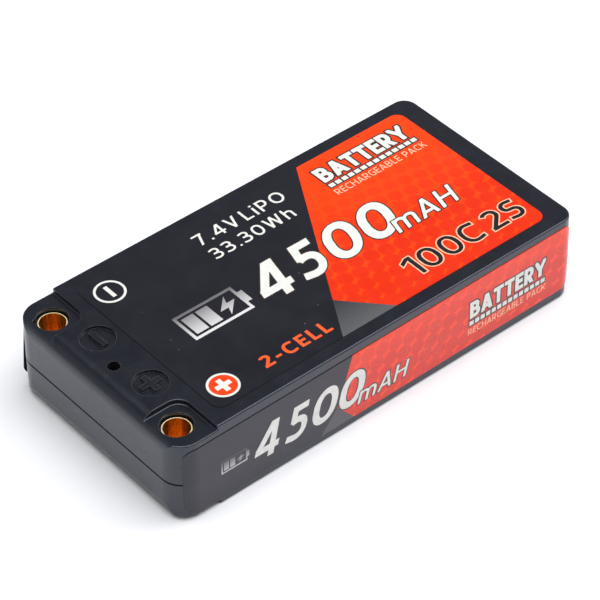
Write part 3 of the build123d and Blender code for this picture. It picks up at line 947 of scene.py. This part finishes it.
def print_side(side, surface, digit_start, unit_start, name_start, badge_start):
    """The same print on each long side, laid out from where its four parts start."""
    lefts = (0.0, 6.90, 13.23, 19.46)
    rights = (5.83, 12.63, 19.26, 25.59)
    unit_width = 12.45
    name_width = 19.46
    badge_width = 6.23
    rim = (0.25, 0.28)
    spans = [(digit_start + a, digit_start + b) for a, b in zip(lefts, rights)]
    fills, dark = digits(spans, 5.0, 12.7, LABEL_TILT)
    name_end = name_start + name_width
    name_box = (name_start + rim[0], name_end - rim[0], 8.75, 12.65)
    name, name_dark = ruled_name(name_box, 0.30, 7.0, rim, LABEL_TILT)
    unit_box = (unit_start, unit_start + unit_width, 4.32, 8.07)
    unit, unit_outline = word("mAH", unit_box, UNIT_STYLE, 0.20, ITALIC, LABEL_TILT)
    small = word(SMALL_PRINT, (name_start, name_end, 4.81, 6.29), SMALL_STYLE, tilt=LABEL_TILT)[0]
    badge = battery_badge(badge_start, badge_start + badge_width, 7.18, 10.24, 0.30)
    for ink_name, shapes, height, material in (
        ("white_print", fills + name, FILM, white_ink),
        ("dark_outline", dark + name_dark, UNDER_FILM, outline_ink),
        ("unit_outline", [unit_outline], OVER_OUTLINE, outline_ink),
        ("unit_print", [unit], OVER_FILM, white_ink),
        ("small_print", [small], UNDER_FILM, pale_ink),
        ("badge_print", badge, FILM, side_silver),
    ):
        print_layer(f"{side}_{ink_name}", shapes, surface, height, material)


print_top()
print_side(
    "near_side", on_near_side,
    digit_start=-30.33, unit_start=-6.62, name_start=20.25, badge_start=-37.74,
)
print_side(
    "far_side", on_far_side,
    digit_start=-12.6, unit_start=11.4, name_start=-40.0, badge_start=31.8,
)


# ================================================================ floor
def make_floor():
    """A plain pale sheet, level with the pack's underside."""
    g = Graph("studio_floor")
    faint = g.noise(0.01, 2.0, 0.5)
    colour = g.mix(faint, (0.800, 0.804, 0.828), (0.820, 0.824, 0.848))
    g.shade(Base_Color=colour, Roughness=0.6, Normal=g.bump(faint, 0.02))
    half = 3.0     # metres
    mesh = bpy.data.meshes.new("studio_floor")
    mesh.from_pydata(
        [(-half, -half, 0), (half, -half, 0), (half, half, 0), (-half, half, 0)], [], [(0, 1, 2, 3)]
    )
    mesh.materials.append(g.material)
    floor = bpy.data.objects.new("studio_floor", mesh)
    floor.location.z = cad_box[0][2]
    bpy.context.scene.collection.objects.link(floor)


make_floor()


# ================================================================ light
def soft_light(name, place, width, power):
    """A square softbox aimed at the pack; place and width are in metres."""
    data = bpy.data.lights.new(name, "AREA")
    data.shape = "SQUARE"
    data.size = width
    data.energy = power
    lamp = bpy.data.objects.new(name, data)
    lamp.location = place
    lamp.rotation_euler = (-Vector(place)).to_track_quat("-Z", "Y").to_euler()
    bpy.context.scene.collection.objects.link(lamp)


def make_world():
    """A dim room round the table, brighter near the horizon and overhead."""
    world = bpy.data.worlds.new("studio")
    world.use_nodes = True
    bpy.context.scene.world = world
    tree = world.node_tree
    direction = tree.nodes.new("ShaderNodeTexCoord").outputs["Generated"]
    axes = tree.nodes.new("ShaderNodeSeparateXYZ")
    tree.links.new(direction, axes.inputs[0])
    ramp = tree.nodes.new("ShaderNodeValToRGB")
    tree.links.new(axes.outputs["Z"], ramp.inputs[0])
    ramp.color_ramp.interpolation = "EASE"
    stops = ((0.0, 0.50), (0.30, 0.42), (0.56, 0.36), (0.69, 0.05), (1.0, 0.8))
    elements = ramp.color_ramp.elements
    while len(elements) < len(stops):
        elements.new(0.5)
    for element, (position, level) in zip(elements, stops):
        element.position = position
        element.color = (level, level, level * 1.01, 1.0)
    background = tree.nodes["Background"]
    tree.links.new(ramp.outputs[0], background.inputs["Color"])
    background.inputs["Strength"].default_value = 1.0


make_world()
soft_light("overhead_softbox", (-0.06, -0.16, 1.2), 1.35, 18.0)
soft_light("side_softbox", (0.70, -0.30, 0.80), 0.60, 4.5)


# ================================================================ camera
def make_camera():
    """Looks down at the terminal end's near corner, from the photograph's angle."""
    azimuth = math.radians(-40.018)
    elevation = math.radians(41.941)
    roll = math.radians(-0.608)
    distance = 525.4
    target = Vector((0.401, 0.314, 9.0))
    back = Vector((
        math.sin(azimuth) * math.cos(elevation),
        -math.cos(azimuth) * math.cos(elevation),
        math.sin(elevation),
    ))
    level_right = (-back).cross(Vector((0, 0, 1))).normalized()
    level_up = level_right.cross(-back)
    right = math.cos(roll) * level_right + math.sin(roll) * level_up
    up = -math.sin(roll) * level_right + math.cos(roll) * level_up
    place = (target + back * distance) * MM
    data = bpy.data.cameras.new("camera")
    data.lens = 172.35
    data.sensor_width = 36.0
    data.clip_start = 0.01
    camera = bpy.data.objects.new("camera", data)
    turn = Matrix((right, up, back)).transposed().to_4x4()
    camera.matrix_world = Matrix.Translation(place) @ turn
    bpy.context.scene.collection.objects.link(camera)
    bpy.context.scene.camera = camera


make_camera()
bpy.context.scene.view_settings.view_transform = "Standard"
